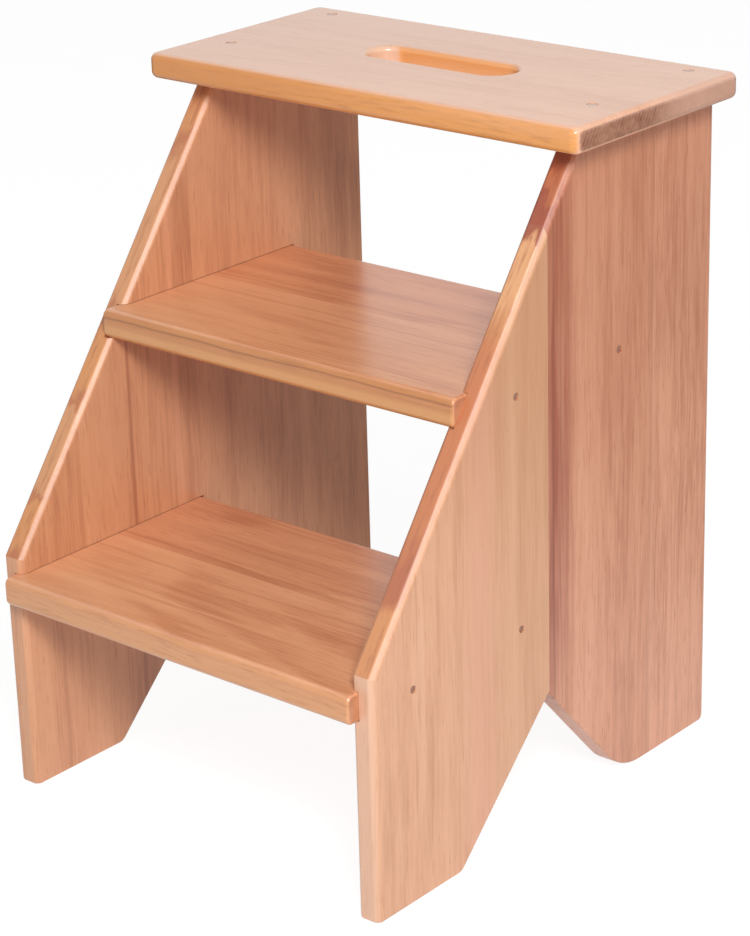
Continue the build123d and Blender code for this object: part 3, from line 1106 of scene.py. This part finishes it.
@dataclass
class Fixings:
    """The plugs that cover the screws, and the screws under them."""

    side_plug_radius: float = 0.0027
    side_plug_spacing: float = 0.1165
    top_plug_radius: float = 0.00395
    top_plug_spacing: float = 0.113
    plug_length: float = 0.005
    plug_sink: float = 0.0009
    plug_dish: float = 0.0004
    top_plug_depth: float = 0.35
    turn_seed: int = 11

    ROUND_SIDES = 40
    FACE_RINGS = 6

    def places(self) -> list[tuple[Vector, Vector, Vector]]:
        """Where the plugs sit, which way they face and their girth.

        Returns:
            Place, outward direction and girth of each plug: its radius twice, and its share of the depth.
        """
        found: list[tuple[Vector, Vector, Vector]] = []
        for hand in Hand:
            for joint in reversed(FixedJoint):
                low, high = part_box(f"{hand.value}_{joint.value}_plugs")
                if joint is FixedJoint.TOP:
                    outward = Vector((0.0, 0.0, 1.0))
                    girth = Vector((self.top_plug_radius, self.top_plug_radius, self.top_plug_depth))
                    step = Vector((0.0, self.top_plug_spacing / 2, 0.0))
                else:
                    outward = Vector((hand.outward, 0.0, 0.0))
                    girth = Vector((self.side_plug_radius, self.side_plug_radius, 1.0))
                    step = Vector((0.0, self.side_plug_spacing / 2, 0.0))
                face = (low + high) / 2 + outward * abs((high - low).dot(outward)) / 2
                found += [(face - step, outward, girth), (face + step, outward, girth)]
        return found

    def build(self) -> bpy.types.Object:
        """Set the plugs with a Geometry Nodes tree and bake them to one mesh.

        Returns:
            The piece that stands for the plug nodes.
        """
        found = self.places()
        mesh = bpy.data.meshes.new("fixing_plugs")
        mesh.from_pydata([tuple(place) for place, _, _ in found], [], [])
        facing = mesh.attributes.new("facing", "FLOAT_VECTOR", "POINT")
        girth = mesh.attributes.new("girth", "FLOAT_VECTOR", "POINT")
        for index, (_, way, size) in enumerate(found):
            facing.data[index].vector = way
            girth.data[index].vector = size
        piece = bpy.data.objects.new("fixing_plugs", mesh)
        bpy.context.scene.collection.objects.link(piece)
        tree = self._plug_tree()
        modifier = piece.modifiers.new("set_plugs", "NODES")
        modifier.node_group = tree
        values = {
            "Plug Length": self.plug_length,
            "Sink": self.plug_sink,
            "Dish": self.plug_dish,
            "Turn Seed": self.turn_seed,
            "Finish": self.plug_finish().material(),
        }
        for item in tree.interface.items_tree:
            if item.in_out == "INPUT" and item.name in values:
                modifier[item.identifier] = values[item.name]
        graph = bpy.context.evaluated_depsgraph_get()
        baked = bpy.data.meshes.new_from_object(piece.evaluated_get(graph))
        piece.modifiers.remove(modifier)
        piece.data = baked
        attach(piece, ROOT)
        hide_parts(*[f"{hand.value}_{joint.value}_plugs" for hand in Hand for joint in FixedJoint])
        LOG.info("%s set at %d places", piece.name, len(found))
        return piece

    @staticmethod
    def plug_finish() -> WoodFinish:
        """Finish of the plugs, cut across the grain of a darker scrap.

        Returns:
            The finish.
        """
        grey_top = Stripe(-1.0, 1.0, srgb(204, 172, 158), 0.8, shown=Shown.UP)
        return WoodFinish(
            name="plug_wood",
            run=GrainRun.CROSSWISE,
            sawing=Sawing(seed=8.4, pith_across=0.3, pith_through=0.4, lean_across=0.0, lean_through=0.0,
                          rings_per_metre=600.0, wander=0.03),
            pale=srgb(206, 164, 140),
            middle=srgb(190, 146, 122),
            dark=srgb(140, 96, 74),
            end=srgb(118, 68, 42),
            end_ring_gain=0.2,
            stripes=(grey_top,),
        )

    def _plug_tree(self) -> bpy.types.NodeTree:
        """Node tree that sets one slightly dished plug at each point.

        Returns:
            The tree, with named inputs for its sizes.
        """
        tree = bpy.data.node_groups.new("plug_setter", "GeometryNodeTree")
        sockets = (
            ("Points", "NodeSocketGeometry"),
            ("Plug Length", "NodeSocketFloat"),
            ("Sink", "NodeSocketFloat"),
            ("Dish", "NodeSocketFloat"),
            ("Turn Seed", "NodeSocketInt"),
            ("Finish", "NodeSocketMaterial"),
        )
        for name, kind in sockets:
            tree.interface.new_socket(name=name, in_out="INPUT", socket_type=kind)
        tree.interface.new_socket(name="Plugs", in_out="OUTPUT", socket_type="NodeSocketGeometry")
        bench = Bench(tree)
        given = tree.nodes.new("NodeGroupInput")
        take = {name: Wire(bench, given.outputs[name]) for name, _ in sockets}
        named_vector = {"data_type": "FLOAT_VECTOR"}

        blank = bench.add("GeometryNodeMeshCylinder", None, {
            "Vertices": self.ROUND_SIDES, "Side Segments": 1, "Fill Segments": self.FACE_RINGS,
            "Radius": 1.0, "Depth": take["Plug Length"]})
        spot = bench.add("GeometryNodeInputPosition")
        parts = {axis: bench.add("ShaderNodeSeparateXYZ", None, {0: spot}, axis) for axis in "XYZ"}
        reach = parts["X"] * parts["X"] + parts["Y"] * parts["Y"]
        crown = bench.add("FunctionNodeCompare", {"data_type": "FLOAT", "operation": "GREATER_THAN"},
                          {0: parts["Z"], 1: 0.0})
        drop = bench.vector(0.0, 0.0, (reach - 1.0) * take["Dish"])
        dished = bench.add("GeometryNodeSetPosition", None,
                           {"Geometry": blank, "Selection": crown, "Offset": drop})
        lower = bench.vector(0.0, 0.0, -1.0 * (take["Plug Length"] * 0.5 + take["Sink"]))
        seated = bench.add("GeometryNodeTransform", None, {"Geometry": dished, "Translation": lower})
        way = bench.add("GeometryNodeInputNamedAttribute", named_vector, {"Name": "facing"})
        girth = bench.add("GeometryNodeInputNamedAttribute", named_vector, {"Name": "girth"})
        aim = bench.add("FunctionNodeAlignRotationToVector", {"axis": "Z"}, {"Vector": way})
        spin = bench.add("FunctionNodeRandomValue", {"data_type": "FLOAT"},
                         {2: 0.0, 3: 2 * math.pi, "Seed": take["Turn Seed"]}, 1)
        twist = bench.add("FunctionNodeAxisAngleToRotation", None,
                          {"Axis": (0.0, 0.0, 1.0), "Angle": spin})
        turned = bench.add("FunctionNodeRotateRotation", {"rotation_space": "LOCAL"},
                           {"Rotation": aim, "Rotate By": twist})
        placed = bench.add("GeometryNodeInstanceOnPoints", None, {
            "Points": take["Points"], "Instance": seated, "Rotation": turned, "Scale": girth})
        real = bench.add("GeometryNodeRealizeInstances", None, {"Geometry": placed})
        painted = bench.add("GeometryNodeSetMaterial", None,
                            {"Geometry": real, "Material": take["Finish"]})
        bench.add("NodeGroupOutput", None, {"Plugs": painted})
        return tree

    def dress(self) -> None:
        """Give the screws their finish."""
        steel = SteelFinish().material()
        for hand in Hand:
            for joint in FixedJoint:
                dress_node(f"{hand.value}_{joint.value}_screws", steel)


@dataclass
class Studio:
    """Pale floor, soft light and the camera at the photograph's angle."""

    camera_place: tuple[float, float, float] = (1.2359, -1.4200, 0.9665)
    camera_azimuth: float = 40.567
    camera_elevation: float = 21.488
    camera_roll: float = -1.625
    focal_pixels: float = 2831.85
    image_height: int = 936
    sensor: float = 36.0
    key_place: tuple[float, float, float] = (1.38, -1.25, 1.60)
    key_target: tuple[float, float, float] = (0.0, 0.0, 0.25)
    key_size: float = 0.62
    key_power: float = 42.0
    ambient: float = 0.33
    floor_size: float = 30.0
    floor_tone: float = 0.92
    floor_glow: float = 1.16
    floor_glow_share: float = 0.78
    # Strength of the painted shade on the floor behind the object, as reflections see it
    floor_painted_shade_glow: float = 0.15
    floor_shade_way: tuple[float, float, float] = (-0.4, 1.0, 0.0)
    floor_shade_span: Span = (0.12, 0.42)

    def build(self) -> None:
        """Make the floor, the lights, the world and the camera."""
        self._floor()
        self._world()
        self._key()
        self._camera()
        LOG.info("studio set up")

    def _floor(self) -> None:
        """Make a wide pale floor that keeps the object's shadow, and that in reflections glows white,
        with painted shade that dims it behind the object.
        """
        half = self.floor_size / 2
        mesh = bpy.data.meshes.new("studio_floor")
        corners = [(-half, -half, 0.0), (half, -half, 0.0), (half, half, 0.0), (-half, half, 0.0)]
        mesh.from_pydata(corners, [], [(0, 1, 2, 3)])
        material, bench = new_material("studio_floor_paper")
        paper = bench.add("ShaderNodeBsdfDiffuse", None, {"Color": (self.floor_tone,) * 3})
        glow = bench.add("ShaderNodeEmission", None, {"Color": WHITE, "Strength": self.floor_glow})
        # Painted shade: in reflections the floor glows white in front and dims behind the object
        painted_shade_glow = bench.add("ShaderNodeEmission", None, {"Color": WHITE, "Strength": self.floor_painted_shade_glow})
        spot = bench.add("ShaderNodeTexCoord", None, None, "Object")
        behind = bench.add("ShaderNodeVectorMath", {"operation": "DOT_PRODUCT"},
                           {0: spot, 1: self.floor_shade_way}, "Value")
        mirrored = bench.add("ShaderNodeLightPath", None, None, "Is Glossy Ray")
        painted_shade_share = mirrored * behind.ease(*self.floor_shade_span)
        glow = bench.add("ShaderNodeMixShader", None, {0: painted_shade_share, 1: glow, 2: painted_shade_glow})
        share = bench.seen_white() * self.floor_glow_share
        blend = bench.add("ShaderNodeMixShader", None, {0: share, 1: paper, 2: glow})
        bench.add("ShaderNodeOutputMaterial", None, {"Surface": blend})
        mesh.materials.append(material)
        floor = bpy.data.objects.new("studio_floor", mesh)
        bpy.context.scene.collection.objects.link(floor)

    def _world(self) -> None:
        """Make a world that is white to the eye and in reflections, and softer as a light."""
        world = bpy.data.worlds.new("studio_white")
        bpy.context.scene.world = world
        world.use_nodes = True
        world.node_tree.nodes.clear()
        bench = Bench(world.node_tree)
        soft = bench.add("ShaderNodeBackground", None, {"Color": WHITE, "Strength": self.ambient})
        white = bench.add("ShaderNodeBackground", None, {"Color": WHITE, "Strength": 1.0})
        sky = bench.add("ShaderNodeMixShader", None, {0: bench.seen_white(), 1: soft, 2: white})
        bench.add("ShaderNodeOutputWorld", None, {"Surface": sky})

    def _key(self) -> None:
        """Make the soft lamp above the camera."""
        lamp = bpy.data.lights.new("key_softbox", "AREA")
        lamp.shape = "SQUARE"
        lamp.size = self.key_size
        lamp.energy = self.key_power
        place = Vector(self.key_place)
        aim = Vector(self.key_target) - place
        holder = bpy.data.objects.new("key_softbox", lamp)
        holder.location = place
        holder.rotation_mode = "QUATERNION"
        holder.rotation_quaternion = aim.to_track_quat("-Z", "Y")
        bpy.context.scene.collection.objects.link(holder)

    def _camera(self) -> None:
        """Make the camera at the fitted place and angle."""
        azimuth = math.radians(self.camera_azimuth)
        elevation = math.radians(self.camera_elevation)
        roll = math.radians(self.camera_roll)
        back = Vector((math.sin(azimuth) * math.cos(elevation),
                       -math.cos(azimuth) * math.cos(elevation),
                       math.sin(elevation)))
        right = (-back).cross(Vector((0.0, 0.0, 1.0))).normalized()
        up = right.cross(-back)
        right_rolled = right * math.cos(roll) + up * math.sin(roll)
        up_rolled = up * math.cos(roll) - right * math.sin(roll)
        turn = Matrix((right_rolled, up_rolled, back)).transposed()
        data = bpy.data.cameras.new("photo_camera")
        data.sensor_width = self.sensor
        data.lens = self.focal_pixels * self.sensor / self.image_height
        camera = bpy.data.objects.new("photo_camera", data)
        camera.matrix_world = Matrix.Translation(Vector(self.camera_place)) @ turn.to_4x4()
        bpy.context.scene.collection.objects.link(camera)
        bpy.context.scene.camera = camera


def main() -> None:
    """Build the ladder's pieces in order, then the studio."""
    logging.basicConfig(level=logging.INFO, format="%(message)s")
    bpy.context.scene.view_settings.view_transform = "Standard"
    TopBoard().dress()
    Tread(
        name="middle_tread",
        side_y=-0.064,
        seed=1.9,
        front_wood=WoodTones(srgb(229, 163, 115), srgb(220, 151, 103), srgb(190, 112, 68)),
        rear_wood=WoodTones(srgb(226, 158, 110), srgb(216, 144, 96), srgb(184, 106, 62)),
        front_tone=srgb(190, 122, 60),
        ring_line_share=0.6,
    ).dress()
    Tread(
        name="bottom_tread",
        side_y=-0.181,
        seed=6.7,
        front_wood=WoodTones(srgb(238, 176, 132), srgb(229, 163, 118), srgb(198, 124, 82)),
        rear_wood=WoodTones(srgb(232, 168, 124), srgb(222, 154, 110), srgb(190, 116, 76)),
        front_tone=srgb(212, 146, 94),
        ring_line_share=0.1,
    ).dress()
    SidePanel(Hand.LEFT, seed=4.2).dress()
    SidePanel(Hand.RIGHT, seed=9.6).dress()
    fixings = Fixings()
    fixings.build()
    fixings.dress()
    Studio().build()


if __name__ == "__main__":
    main()
